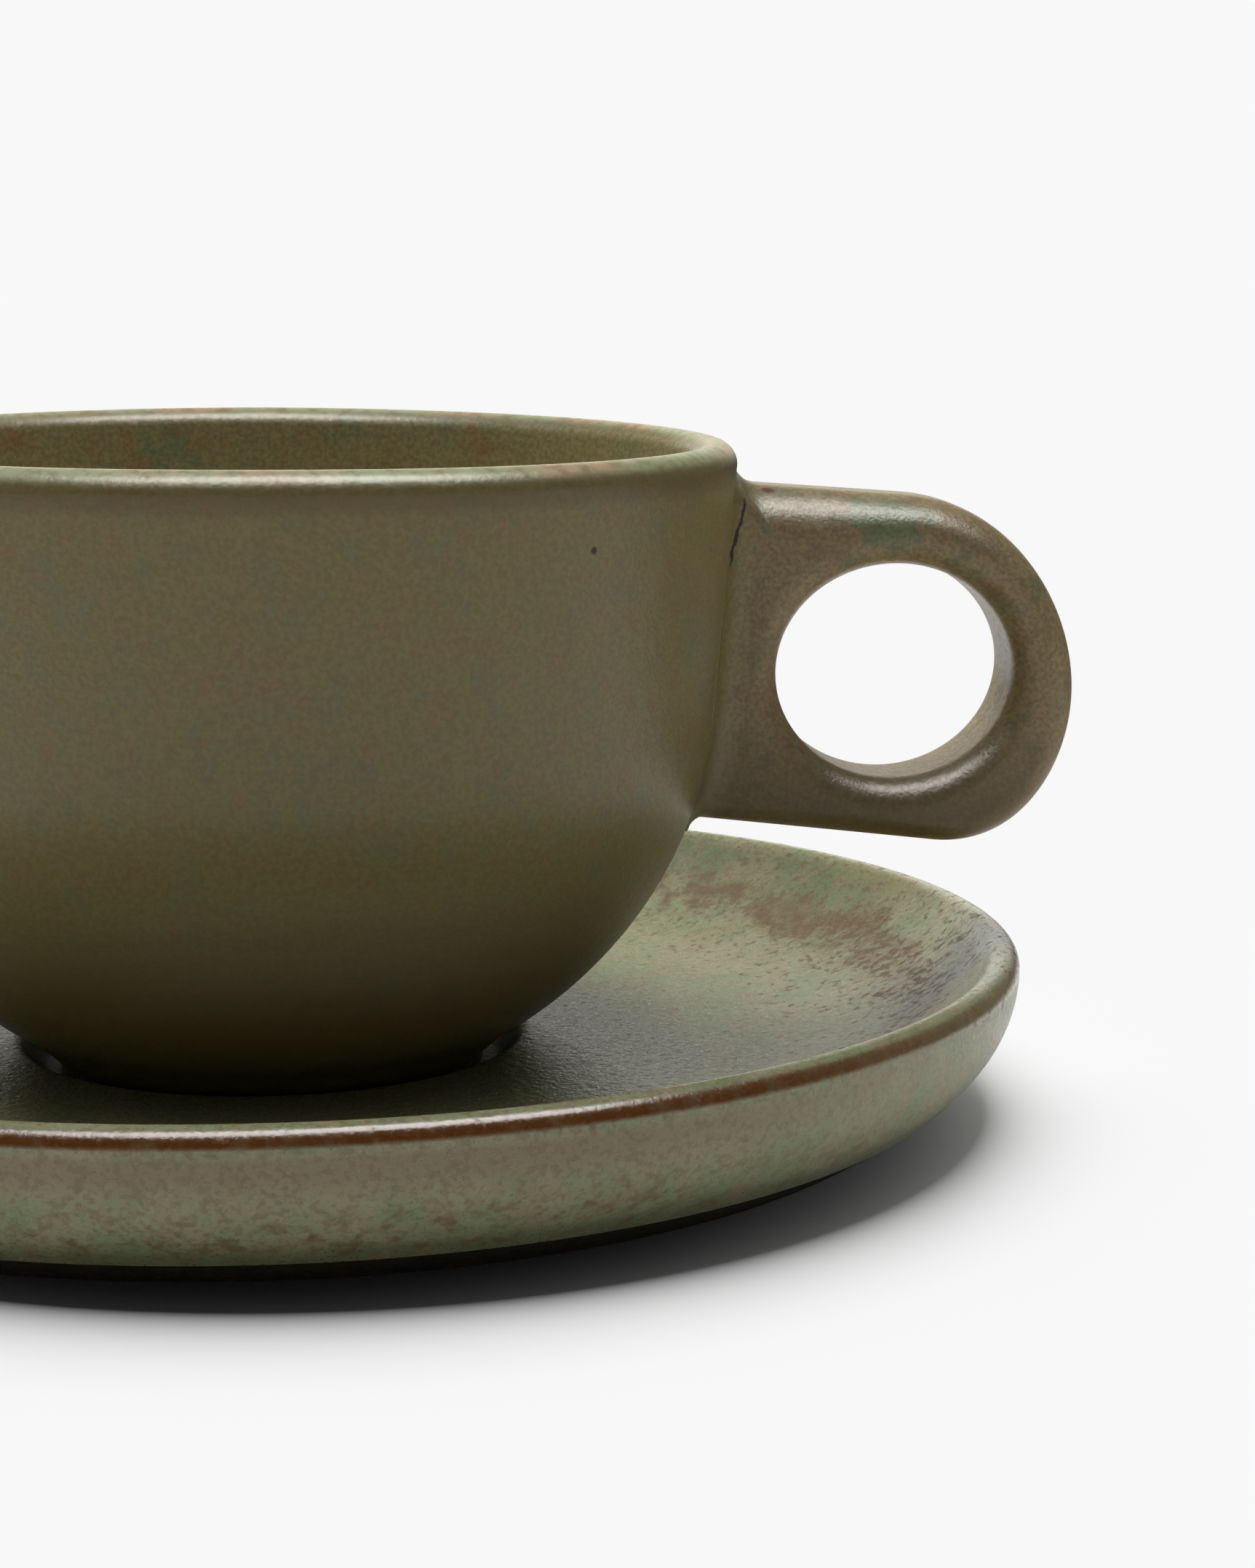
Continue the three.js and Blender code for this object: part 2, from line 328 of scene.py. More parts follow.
def handle_outline():
    """The handle's outline in the XZ plane, closed along a line inside the cup's wall."""
    top_root, top_corner = from_rim(TOP_ROOT), from_rim(TOP_CORNER)
    bottom_corner, bottom_root = from_rim(BOTTOM_CORNER), from_rim(BOTTOM_ROOT)
    nose = from_rim((HANDLE_REACH, NOSE_DROP))
    top_way, bottom_way = unit(top_corner - top_root), unit(bottom_corner - bottom_root)
    above = [top_corner, top_corner + top_way * TOP_EASE, nose + [0, NOSE_EASE_UP], nose]
    below = [nose, nose - [0, NOSE_EASE_DOWN], bottom_corner + bottom_way * BOTTOM_EASE, bottom_corner]
    edge = np.vstack(
        [
            straight(top_root, top_corner, OUTLINE_STEP),
            bezier(above, OUTLINE_STEPS),
            bezier(below, OUTLINE_STEPS),
            straight(bottom_corner, bottom_root, OUTLINE_STEP),
        ]
    )
    outside = edge[edge[:, 0] > wall_radius(edge[:, 1]) - ROOT_SINK]
    heights = straight(outside[-1], outside[0], OUTLINE_STEP)[:, 1]
    root = np.column_stack([wall_radius(heights) - ROOT_SINK, heights])
    return np.vstack([outside, root])


def spread(weights, count):
    """Places along a line of steps, counted in steps, that share out the steps' weights evenly."""
    travelled = np.concatenate([[0], np.cumsum(weights)])
    wanted = np.linspace(0, travelled[-1], count, endpoint=False)
    return np.interp(wanted, travelled, np.arange(len(travelled)))


def crowding(distance):
    """How much closer the points lie near the wall, where the fillet bends."""
    return 1 + CROWDING * np.exp(-((distance / CROWDING_REACH) ** 2))


def outer_edge(outer, width):
    """How far the rounding of the handle's outer edge goes along the face and across the thickness."""
    shown = np.clip(1 + (outer[0] - wall_radius(outer[1])) / ROOT_SINK, EDGE_LEAST, 1)
    high = smooth(from_rim(BOTTOM_CORNER)[1], from_rim(TOP_CORNER)[1], outer[1])
    along, across = shown * (BOTTOM_EDGE + np.subtract(TOP_EDGE, BOTTOM_EDGE) * high)
    return min(along, EDGE_MOST * (width - HOLE_EDGE)), across


def bar_section(width, face, edge_along, edge_across):
    """Half of the bar's section, from the middle of the hole's side to the middle of the outer side."""
    half = HANDLE_THICKNESS / 2
    hole_side, outer_side = (0, half - HOLE_EDGE), (width, half - edge_across)
    return np.vstack(
        [
            steps((0, 0), hole_side, THICK_STEPS),
            corner(hole_side, (0, half), (HOLE_EDGE, half)),
            np.column_stack([face, half + 0 * face]),
            corner((width - edge_along, half), (width, half), outer_side),
            steps(outer_side, (width, 0), THICK_STEPS),
        ]
    )


def handle_section(outer):
    """A section of the bar from the finger hole to a point of the outline: points and directions."""
    hole = from_rim(HOLE_CENTRE)
    half = np.array([HOLE_WIDTH / 2, HOLE_HEIGHT / 2])
    inner = hole + unit((outer - hole) / half) * half
    along = unit(outer - inner)
    width = np.linalg.norm(outer - inner)
    edge_along, edge_across = outer_edge(outer, width)
    line = np.linspace(HOLE_EDGE, width - edge_along, FACE_SAMPLES)
    on_line = inner + along * line[:, None]
    wanted = spread(crowding(on_line[1:, 0] - wall_radius(on_line[1:, 1])), FACE_STEPS)
    side = bar_section(width, np.interp(wanted, np.arange(len(line)), line), edge_along, edge_across)
    other = np.vstack([(width, 0), side[:0:-1] * (1, -1)])
    ring = np.vstack([side, other])
    run = np.roll(ring, -1, axis=0) - np.roll(ring, 1, axis=0)
    faces = unit(np.column_stack([-run[:, 1], run[:, 0]]))
    flat = inner + along * ring[:, :1]
    flat_faces = along * faces[:, :1]
    points = np.column_stack([flat[:, 0], ring[:, 1], flat[:, 1]])
    directions = np.column_stack([flat_faces[:, 0], faces[:, 1], flat_faces[:, 1]])
    return points, directions


def swell_to_wall(points, directions):
    """Points moved along the wall near the root into a hollow curve, and the gap of each to the wall."""
    radius = np.hypot(points[:, 0], points[:, 1])
    distance = radius - wall_radius(points[:, 2])
    out = np.column_stack([points[:, 0] / radius, points[:, 1] / radius, 0 * radius])
    sideways = directions - out * np.sum(directions * out, axis=1, keepdims=True)
    sideways /= np.maximum(np.linalg.norm(sideways, axis=1, keepdims=True), LEAST_SIDEWAYS)
    upright = np.where(sideways[:, 2] > 0, TOP_FILLET, BOTTOM_FILLET)
    fillet = upright + (FACE_FILLET - upright) * sideways[:, 1] ** 4
    climb = np.clip(1 - distance / fillet, 0, 1)
    swell = fillet * (1 - np.sqrt(1 - climb**2))
    return points + sideways * swell[:, None], distance


def handle_shape():
    """The handle in sections along its outline: points, faces and each point's gap to the wall."""
    outline = handle_outline()
    closed = np.vstack([outline, outline[:1]])
    lengths = np.linalg.norm(np.diff(closed, axis=0), axis=1)
    wanted = spread(lengths * crowding(outline[:, 0] - wall_radius(outline[:, 1])), HANDLE_SECTIONS)
    along = np.arange(len(closed))
    chosen = np.column_stack([np.interp(wanted, along, closed[:, axis]) for axis in range(2)])
    sections = [handle_section(outer) for outer in chosen]
    points = np.vstack([section[0] for section in sections])
    directions = np.vstack([section[1] for section in sections])
    columns = len(sections[0][0])
    points, wall_gap = swell_to_wall(points, directions)
    return points + [0, 0, SEAT_HEIGHT], grid_faces(len(sections), columns, ring=True), wall_gap


def sag_rim(points):
    """The cup's rim, pulled down a little on the side of the handle."""
    x = points[:, 0]
    sag = RIM_SAG * (x + np.sqrt(x**2 + RIM_SAG_EASE**2))
    weight = smooth(SEAT_HEIGHT, SEAT_HEIGHT + RIM_SAG_RISE, points[:, 2])
    return points - np.column_stack([0 * x, 0 * x, sag * weight])


def tilt_lip(points):
    """The saucer's lip, a little lower at the back than at the front."""
    radius = np.hypot(points[:, 0], points[:, 1])
    drop = (LIP_SAG + LIP_TILT * points[:, 1]) * smooth(LIP_TILT_START, SAUCER_RADIUS, radius)
    drop *= smooth(CHIN_HEIGHT, SAUCER_HEIGHT, points[:, 2])
    return points - np.column_stack([0 * drop, 0 * drop, drop])


def new_object(name, data):
    made = bpy.data.objects.new(name, data)
    bpy.context.scene.collection.objects.link(made)
    return made


def mesh_piece(name, points, faces, masks, material, body, node, slot):
    """A smooth mesh with its masks, in its material, that stands for a node and moves with a body."""
    mesh = bpy.data.meshes.new(name)
    mesh.from_pydata((points * MM).tolist(), [], faces)
    mesh.shade_smooth()
    for mask, values in masks.items():
        mesh.attributes.new(mask, "FLOAT", "POINT").data.foreach_set("value", values.astype(np.float32))
    mesh.materials.append(material)
    piece = new_object(name, mesh)
    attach(piece, body)
    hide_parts(node)
    return piece


class Nodes:
    """A node tree with short ways to add nodes. Sizes are in millimetres, angles in degrees."""

    def __init__(self, owner):
        owner.use_nodes = True
        self.tree = owner.node_tree
        self.tree.nodes.clear()

    def add(self, kind, inputs=None, **settings):
        node = self.tree.nodes.new(kind)
        for name, value in settings.items():
            setattr(node, name, value)
        for name, value in (inputs or {}).items():
            if isinstance(value, bpy.types.NodeSocket):
                self.tree.links.new(value, node.inputs[name])
            else:
                node.inputs[name].default_value = value
        return node

    def mask(self, name):
        return self.add("ShaderNodeAttribute", attribute_name=name).outputs["Fac"]

    def place(self):
        """The place on the object in millimetres."""
        place = self.add("ShaderNodeTexCoord").outputs["Object"]
        inputs = {0: place, "Scale": 1 / MM}
        return self.add("ShaderNodeVectorMath", inputs, operation="SCALE").outputs["Vector"]

    def split(self, vector):
        return self.add("ShaderNodeSeparateXYZ", {"Vector": vector}).outputs

    def math(self, operation, *values):
        return self.add("ShaderNodeMath", dict(enumerate(values)), operation=operation).outputs[0]

    def product(self, first, *others):
        for other in others:
            first = self.math("MULTIPLY", first, other)
        return first

    def ease(self, value, low, high, start=0, end=1):
        inputs = {"Value": value, "From Min": low, "From Max": high, "To Min": start, "To Max": end}
        return self.add("ShaderNodeMapRange", inputs, interpolation_type="SMOOTHSTEP").outputs["Result"]

    def band(self, value, start, risen, falling, end):
        """1 from risen to falling, 0 before start and after end."""
        return self.product(self.ease(value, start, risen), self.ease(value, falling, end, 1, 0))

    def noise(self, size, detail, seed, roughness=0.55):
        inputs = {"Vector": self.place(), "W": seed, "Scale": 1 / size}
        inputs |= {"Detail": detail, "Roughness": roughness}
        return self.add("ShaderNodeTexNoise", inputs, noise_dimensions="4D").outputs["Fac"]

    def wander(self, size, seed, reach):
        """A soft to and fro of up to a reach, for ragged borders."""
        return self.ease(self.noise(size, 3, seed), 0.25, 0.75, -reach, reach)

    def polar(self):
        """Radius and azimuth round the Z axis."""
        x, y, _ = self.split(self.place())
        radius = self.math("SQRT", self.math("MULTIPLY_ADD", x, x, self.math("MULTIPLY", y, y)))
        return radius, self.math("DEGREES", self.math("ARCTAN2", y, x))

    def gap(self, centre, sizes=(1, 1, 1)):
        """Distance from a place, with each axis counted in its own size."""
        away = self.add("ShaderNodeVectorMath", {0: self.place(), 1: centre}, operation="SUBTRACT")
        counted = self.add("ShaderNodeVectorMath", {0: away.outputs[0], 1: sizes}, operation="DIVIDE")
        length = self.add("ShaderNodeVectorMath", {0: counted.outputs[0]}, operation="LENGTH")
        return length.outputs["Value"]

    def spot(self, centre, size):
        """1 within a spot round a place, 0 outside it."""
        return self.ease(self.gap(centre, (size, size, size)), 0.4, 1, 1, 0)

    def mix(self, amount, below, above):
        inputs = {0: amount, 6: below, 7: above}
        return self.add("ShaderNodeMix", inputs, data_type="RGBA").outputs[2]

    def shaders(self, amount, below, above):
        """Two shaders, the second over the first by an amount."""
        inputs = {0: amount, 1: below.outputs[0], 2: above.outputs[0]}
        return self.add("ShaderNodeMixShader", inputs)

    def bump(self, height, depth, below=None):
        inputs = {"Height": height, "Distance": depth * MM}
        if below:
            inputs["Normal"] = below
        return self.add("ShaderNodeBump", inputs).outputs["Normal"]

    def surface(self, **inputs):
        named = {name.replace("_", " "): value for name, value in inputs.items()}
        shader = self.add("ShaderNodeBsdfPrincipled", named)
        self.add("ShaderNodeOutputMaterial", {"Surface": shader.outputs["BSDF"]})


def colour(red, green, blue):
    return (red, green, blue, 1)


# Glaze colours
OLIVE = colour(0.216, 0.173, 0.056)
OLIVE_GREEN = colour(0.150, 0.176, 0.080)
OLIVE_RUST = colour(0.250, 0.140, 0.056)
# A deep olive for grain, and for painted shade and a painted dark reflection
OLIVE_DEEP_AND_SHADE = colour(0.125, 0.080, 0.023)
# Painted shade: the cup's outside towards its foot, and a tone in the saucer's dark underside
SHADED_OLIVE = colour(0.055, 0.042, 0.012)
# Inside colours, lighter than the outside's glaze: painted light inside the cup
LIT_INSIDE_OLIVE = colour(0.410, 0.355, 0.170)
LIT_INSIDE_GREEN = colour(0.235, 0.330, 0.170)
LIT_INSIDE_RUST = colour(0.420, 0.260, 0.110)
# Pale where the glaze breaks over the rim, and lightened further as a painted highlight
LIP_GREEN_AND_HIGHLIGHT = colour(0.375, 0.410, 0.205)
LIP_ROSE_AND_HIGHLIGHT = colour(0.480, 0.340, 0.180)
HANDLE_BROWN = colour(0.340, 0.248, 0.118)
HANDLE_GREEN = colour(0.175, 0.230, 0.110)
SAGE = colour(0.330, 0.325, 0.190)
SAGE_GREEN = colour(0.225, 0.300, 0.148)
SAGE_TAN = colour(0.330, 0.270, 0.150)
WALL_TAN = colour(0.265, 0.212, 0.115)
SLOPE_GREEN = colour(0.160, 0.200, 0.090)
# Painted shade on the saucer: round the cup's foot, and low on the outer wall
SAGE_HALF_SHADE = colour(0.120, 0.132, 0.062)
SAGE_SHADE = colour(0.045, 0.040, 0.015)
FLECK = colour(0.150, 0.088, 0.030)
DRIFT = colour(0.185, 0.125, 0.060)
RUST = colour(0.140, 0.044, 0.004)
# Near-black, as painted shade on the unglazed underside
SHADED_BARE_CLAY = colour(0.012, 0.008, 0.005)
CRACK = colour(0.018, 0.008, 0.004)

# Sizes of the patterns in the glazes
GRAIN_SIZE = 0.35
DEEP_GRAIN_SIZE = 0.5
CUP_PIT_SIZE = 1.6
SAUCER_PIT_SIZE = 0.7
MOTTLE_SIZE = 3.2
INSIDE_MOTTLE_SIZE = 6
LIP_TONE_SIZE = 9
LIP_WEAR_AND_LIGHT_SIZE = 1.2
CLOUD_SIZE = 5
TAN_SIZE = 4
ISLAND_SIZE = 3
SPECK_SIZE = 0.6
FLECK_SIZE = 1.0
LOW_FLECK_SIZE = 1.4
RAGGED_SIZE = 1.6

# Gloss and relief of the glazes
ROUGH_SPAN = 0.13
MATTE_ROUGH = 0.3
LIP_POLISH = 0.3
CUP_FINISH = {"seed": 20.0, "pit_depth": 0.07, "rough_from": 0.30, "grain_depth": 0.03}
HANDLE_FINISH = {"seed": 20.0, "pit_depth": 0.07, "rough_from": 0.32, "grain_depth": 0.05}
SAUCER_FINISH = {"seed": 40.0, "pit_depth": 0.2, "rough_from": 0.25, "grain_depth": 0.03}

# Single marks on cup and handle, each with its place and size
WALL_DOT = ((29.0, -35.8, 59.76), 0.5)
ROOT_DOT = ((44.2, -7.3, 32.2), 0.6)
RUST_DOT = ((49.6, -3.6, 62.2), 0.9)
GREEN_PATCH = ((61.5, -6, 59.2), (5.5, 4, 2.4))

# Zones of the glazes: two numbers are the ends of an ease, and four are the places of a band
BROWN_GAPS = (0, 4)
HANDLE_SHADE_HEIGHTS = (28, 42)
CRACK_LEAN = (55, 63)
CRACK_ACROSS = (0.08, 0.16, 0.40, 0.50)
CRACK_HEIGHTS = (54.8, 55.8, 61.6, 62.4)
CRACK_SIDE = (-7.1, -6.6)

# On the saucer they are radii, azimuths, turns away from the handle and drops down the outer wall
SEAT_RADII = (24.5, 26)
# Radii of the painted shadow round the cup's foot: a darker core and a softer spread
CUP_SHADOW_RADII = (28, 44)
WELL_SHADE_RADII = (34, 51)
PITTED_RADII = (44, 60)
SLOPE_RADII = (63, 70, 70.6, 72)
SLOPE_TURNS = (8, 30)
DRIFT_RADII = (60.5, 64, 66.5, 69.5)
DRIFT_WHOLE = (-28, -14, 24, 40)
DRIFT_BROKEN = (8, 24, 40, 58)
LOOSE_RADII = (46, 60)
LOOSE_AZIMUTHS = (-50, 12, 50, 86)
SPECK_TURNS = (15, 75)
RUST_TURNS = (10, 65)
WALL_DROPS = (0.0, 0.05)
TAN_DROPS = (0.0, 0.1, 0.15, 0.5)
TAN_TURNS = (25, 75)
LOW_FLECK_DROPS = (0.3, 0.75, 0.9, 1)
LOW_FLECK_TURNS = (25, 80)
WALL_SHADE_DROPS = (0.55, 1.0)


def satin(nodes, base, pits, matte=0.0, *, seed, pit_depth, rough_from, grain_depth):
    """The shader that the glazes share: a satin gloss over fine grain and pits, duller where matte."""
    grain = nodes.noise(GRAIN_SIZE, 3, seed)
    rough = nodes.ease(grain, 0.3, 0.7, rough_from, rough_from + ROUGH_SPAN)
    rough = nodes.math("MULTIPLY_ADD", matte, MATTE_ROUGH, rough)
    normal = nodes.bump(grain, grain_depth, nodes.bump(pits, pit_depth))
    nodes.surface(Base_Color=base, Roughness=rough, Normal=normal)


def mottled(nodes, seed, size, strength, plain, green_tone, rust_tone):
    """A reactive glaze: a plain tone with soft green and rust patches."""
    green = nodes.ease(nodes.noise(size, 5, seed, 0.62), 0.50, 0.66, 0, strength)
    rust = nodes.ease(nodes.noise(size * 0.8, 5, seed + 3, 0.62), 0.52, 0.68, 0, strength)
    return nodes.mix(rust, nodes.mix(green, plain, green_tone), rust_tone)


def olive_patches(nodes, plain):
    """The mottling that the outsides of cup and handle share."""
    return mottled(nodes, 2.0, MOTTLE_SIZE, 0.6, plain, OLIVE_GREEN, OLIVE_RUST)


def deep_grain(nodes, base, strength):
    grain = nodes.ease(nodes.noise(DEEP_GRAIN_SIZE, 3, 7.0), 0.35, 0.65, 0, strength)
    return nodes.mix(grain, base, OLIVE_DEEP_AND_SHADE)


def cup_pits(nodes):
    return nodes.noise(CUP_PIT_SIZE, 2, 21.0)


def crack(nodes, wall_gap):
    """The dark crack at the front of the handle's root, running down from the rim towards the wall."""
    _, y, z = nodes.split(nodes.place())
    gap = nodes.math("SUBTRACT", wall_gap, nodes.ease(z, *CRACK_LEAN))
    gap = nodes.math("ADD", gap, nodes.wander(1.2, 60.0, 0.15))
    front = nodes.ease(y, *CRACK_SIDE, 1, 0)
    return nodes.product(nodes.band(gap, *CRACK_ACROSS), nodes.band(z, *CRACK_HEIGHTS), front)


def cup_glaze():
    material = bpy.data.materials.new("cup_glaze")
    nodes = Nodes(material)
    # Towards the foot the outside darkens into a painted shade.
    outside = nodes.mix(nodes.mask("low"), olive_patches(nodes, OLIVE), SHADED_OLIVE)
    inside = mottled(nodes, 12.0, INSIDE_MOTTLE_SIZE, 0.85, LIT_INSIDE_OLIVE, LIT_INSIDE_GREEN, LIT_INSIDE_RUST)
    # Inside, the glaze is coloured lighter as painted light; its green and rust patches are the glaze's
    # own.
    base = deep_grain(nodes, nodes.mix(nodes.mask("inside"), outside, inside), 0.4)
    rosy = nodes.ease(nodes.noise(LIP_TONE_SIZE, 3, 9.0), 0.45, 0.65)
    worn_and_lit = nodes.ease(nodes.noise(LIP_WEAR_AND_LIGHT_SIZE, 3, 10.0), 0.30, 0.60, 0.4, 1)
    # The pale lip: the glaze breaking over the rim, lightened further into a painted highlight.
    base = nodes.mix(nodes.product(nodes.mask("lip"), worn_and_lit), base, nodes.mix(rosy, LIP_GREEN_AND_HIGHLIGHT, LIP_ROSE_AND_HIGHLIGHT))
    # A dark band just under the rim: a painted reflection of the dark front of the room.
    base = nodes.mix(nodes.mask("painted_reflection_under_lip"), base, OLIVE_DEEP_AND_SHADE)
    base = nodes.mix(nodes.spot(*WALL_DOT), base, CRACK)
    satin(nodes, base, cup_pits(nodes), **CUP_FINISH)
    return material


def handle_glaze():
    material = bpy.data.materials.new("handle_glaze")
    nodes = Nodes(material)
    wall_gap = nodes.mask("wall_gap")
    base = olive_patches(nodes, nodes.mix(nodes.ease(wall_gap, *BROWN_GAPS), OLIVE, HANDLE_BROWN))
    _, _, z = nodes.split(nodes.place())
    # The handle darkens towards its bottom: painted shade.
    base = nodes.mix(nodes.ease(z, *HANDLE_SHADE_HEIGHTS, 0.75, 0), base, OLIVE_DEEP_AND_SHADE)
    patch = nodes.math("ADD", nodes.gap(*GREEN_PATCH), nodes.wander(2.5, 64.0, 0.5))
    base = nodes.mix(nodes.ease(patch, 0.5, 1.1, 0.9, 0), base, HANDLE_GREEN)
    base = deep_grain(nodes, base, 0.5)
    base = nodes.mix(nodes.spot(*RUST_DOT), base, RUST)
    base = nodes.mix(nodes.spot(*ROOT_DOT), base, CRACK)
    cracked = crack(nodes, wall_gap)
    base = nodes.mix(cracked, base, CRACK)
    satin(nodes, base, cup_pits(nodes), cracked, **HANDLE_FINISH)
    return material


def sage_ground(nodes, radius, turn, wall_drop):
    """The saucer's ground: sage with green and tan clouds, greener up the slope, and darker round the
    middle, where a painted shadow of the cup lies.
    """
    green = nodes.ease(nodes.noise(CLOUD_SIZE, 5, 30.0, 0.65), 0.40, 0.64, 0, 0.8)
    base = nodes.mix(green, SAGE, SAGE_GREEN)
    slope = nodes.product(nodes.band(radius, *SLOPE_RADII), nodes.ease(turn, *SLOPE_TURNS, 0, 0.8))
    base = nodes.mix(slope, base, SLOPE_GREEN)
    tan = nodes.ease(nodes.noise(TAN_SIZE, 5, 33.0, 0.65), 0.46, 0.68, 0, 0.8)
    base = nodes.mix(tan, base, SAGE_TAN)
    wall_tan = nodes.product(nodes.band(wall_drop, *TAN_DROPS), nodes.ease(turn, *TAN_TURNS))
    base = nodes.mix(wall_tan, base, WALL_TAN)
    # Painted shadow of the cup: a soft darkening of the well, and a darker core round its foot.
    shade_edge = nodes.math("ADD", radius, nodes.wander(9, 43.0, 4))
    base = nodes.mix(nodes.ease(shade_edge, *WELL_SHADE_RADII, 0.5, 0), base, SAGE_HALF_SHADE)
    return nodes.mix(nodes.ease(radius, *CUP_SHADOW_RADII, 0.6, 0), base, SAGE_SHADE)


def brown_drift(nodes, radius, azimuth):
    """Where the glaze has browned: a drift along the right slope that breaks up towards the back."""
    across = nodes.band(nodes.math("ADD", radius, nodes.wander(5, 50.0, 2)), *DRIFT_RADII)
    whole = nodes.product(across, nodes.band(azimuth, *DRIFT_WHOLE))
    islands = nodes.ease(nodes.noise(ISLAND_SIZE, 4, 52.0), 0.39, 0.53)
    broken = nodes.product(across, nodes.band(azimuth, *DRIFT_BROKEN), islands)
    return nodes.math("MAXIMUM", whole, broken)


def brown_flecks(nodes, radius, azimuth, turn, wall_drop, drift):
    """Flecks: loose on the right slope, dense in the drift, and on the wall mostly low down."""
    loose = nodes.product(nodes.ease(radius, *LOOSE_RADII), nodes.band(azimuth, *LOOSE_AZIMUTHS), 0.045)
    denser = nodes.math("MULTIPLY_ADD", drift, 0.06, loose)
    scatter = nodes.math("ADD", nodes.noise(FLECK_SIZE, 4, 36.0, 0.62), denser)
    flecks = nodes.ease(scatter, 0.575, 0.665, 0, 0.7)
    flecks = nodes.product(flecks, nodes.ease(wall_drop, *WALL_DROPS, 1, 0.35))
    low = nodes.ease(nodes.noise(LOW_FLECK_SIZE, 3, 37.0), 0.48, 0.66)
    low = nodes.product(low, nodes.band(wall_drop, *LOW_FLECK_DROPS))
    low = nodes.product(low, nodes.ease(turn, *LOW_FLECK_TURNS, 0.2, 0.75))
    return nodes.math("MAXIMUM", flecks, low)


def saucer_glaze():
    material = bpy.data.materials.new("saucer_glaze")
    nodes = Nodes(material)
    radius, azimuth = nodes.polar()
    turn = nodes.math("ABSOLUTE", azimuth)
    wall_drop, lip = nodes.mask("wall_drop"), nodes.mask("lip")
    base = sage_ground(nodes, radius, turn, wall_drop)
    specks = nodes.ease(nodes.noise(SPECK_SIZE, 3, 35.0), 0.46, 0.62, 0, 0.4)
    base = nodes.mix(nodes.product(specks, nodes.ease(turn, *SPECK_TURNS, 0.5, 1)), base, FLECK)
    drift = brown_drift(nodes, radius, azimuth)
    solid = nodes.ease(nodes.noise(RAGGED_SIZE, 4, 53.0), 0.35, 0.6, 0.5, 0.95)
    base = nodes.mix(nodes.product(drift, solid), base, DRIFT)
    flecks = brown_flecks(nodes, radius, azimuth, turn, wall_drop, drift)
    base = nodes.mix(flecks, base, FLECK)
    # The lower outer wall darkens towards the hip: painted shade.
    base = nodes.mix(nodes.ease(wall_drop, *WALL_SHADE_DROPS, 0, 0.45), base, SAGE_SHADE)
    ragged = nodes.ease(nodes.noise(RAGGED_SIZE, 4, 46.0), 0.3, 0.55, 0.8, 1)
    rust = nodes.product(nodes.mask("lip_line"), ragged, nodes.ease(turn, *RUST_TURNS, 0.3, 1))
    base = nodes.mix(rust, base, RUST)
    pitted = nodes.product(nodes.ease(radius, *PITTED_RADII, 1, 0.3), nodes.ease(lip, 0, 1, 1, 0.2))
    pits = nodes.product(nodes.noise(SAUCER_PIT_SIZE, 2, 41.0), pitted)
    dull = nodes.math("MAXIMUM", flecks, nodes.ease(radius, *SEAT_RADII, 1, 0))
    matte = nodes.math("SUBTRACT", dull, nodes.product(lip, LIP_POLISH))
    satin(nodes, base, pits, matte, **SAUCER_FINISH)
    return material


# The unglazed underside; its near-black colour is painted shade.
def shaded_bare_clay():
    material = bpy.data.materials.new("shaded_bare_clay")
    nodes = Nodes(material)
    base = nodes.mix(nodes.ease(nodes.noise(0.8, 3, 70.0), 0.4, 0.7, 0, 0.25), SHADED_BARE_CLAY, SHADED_OLIVE)
    normal = nodes.bump(nodes.noise(0.5, 3, 71.0), 0.1)
    nodes.surface(Base_Color=base, Roughness=0.9, Specular_IOR_Level=0.1, Normal=normal)
    return material


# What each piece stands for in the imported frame
SAUCER = {"body": "saucer", "node": "saucer", "slot": "saucer_glaze"}
CUP_BODY = {"body": "cup", "node": "cup_body", "slot": "cup_glaze"}
CUP_HANDLE = {"body": "cup", "node": "cup_handle", "slot": "handle_glaze"}


# Where the masks lie: depths into the saucer's lip in its own radius, angles up round a lip from its
# outermost point, drops below the cup's rim and heights
LIP_DEPTHS = (2.6, 2)
SAUCER_LIP_ANGLES = (-0.3, 0.0)
RUST_ANGLES = (-0.05, 0.2, 0.75, 1.1)
CUP_LIP_ANGLES = (0.3, 0.8, 1.9, 2.6)
CUP_LIP_START = -0.2
# Where the painted dark reflection lies below the cup's rim
UNDER_LIP_DROP = 2.6
UNDER_LIP_SPREAD = 0.9
INSIDE_DROPS = (0.3, 1.2)
# The cup's outside darkens over these heights towards its foot, a painted shade; the last number is how
# strong this painted shade and the painted reflection under the rim are
LOW_SHADE_HEIGHTS = (36, 2)
PAINTED_SHADE = 0.8
UNDERSIDE_LEAN = 0.1


def make_saucer():
    profile = saucer_profile()
    radius, height = profile[:, 0], profile[:, 1]
    lip_angle = np.arctan2(height - LIP_CENTRE[1], radius - LIP_CENTRE[0])
    lip_start, lip_whole = (SAUCER_RADIUS - depth * SAUCER_LIP for depth in LIP_DEPTHS)
    on_lip = smooth(lip_start, lip_whole, radius)
    outside = np.arange(len(profile)) < np.argmax(radius)
    wall_drop = (LIP_CENTRE[1] - height) / (LIP_CENTRE[1] - HIP_HEIGHT)
    masks = {
        "lip": smooth(*SAUCER_LIP_ANGLES, lip_angle) * on_lip,
        "lip_line": between(lip_angle, *RUST_ANGLES) * on_lip,
        "wall_drop": outside * np.clip(wall_drop, 0, 1),
    }
    points, faces = turned(profile)
    points, masks = tilt_lip(points), round_the_axis(masks)
    piece = mesh_piece("saucer_glazed", points, faces, masks, saucer_glaze(), **SAUCER)
    leave_underside_bare(piece)


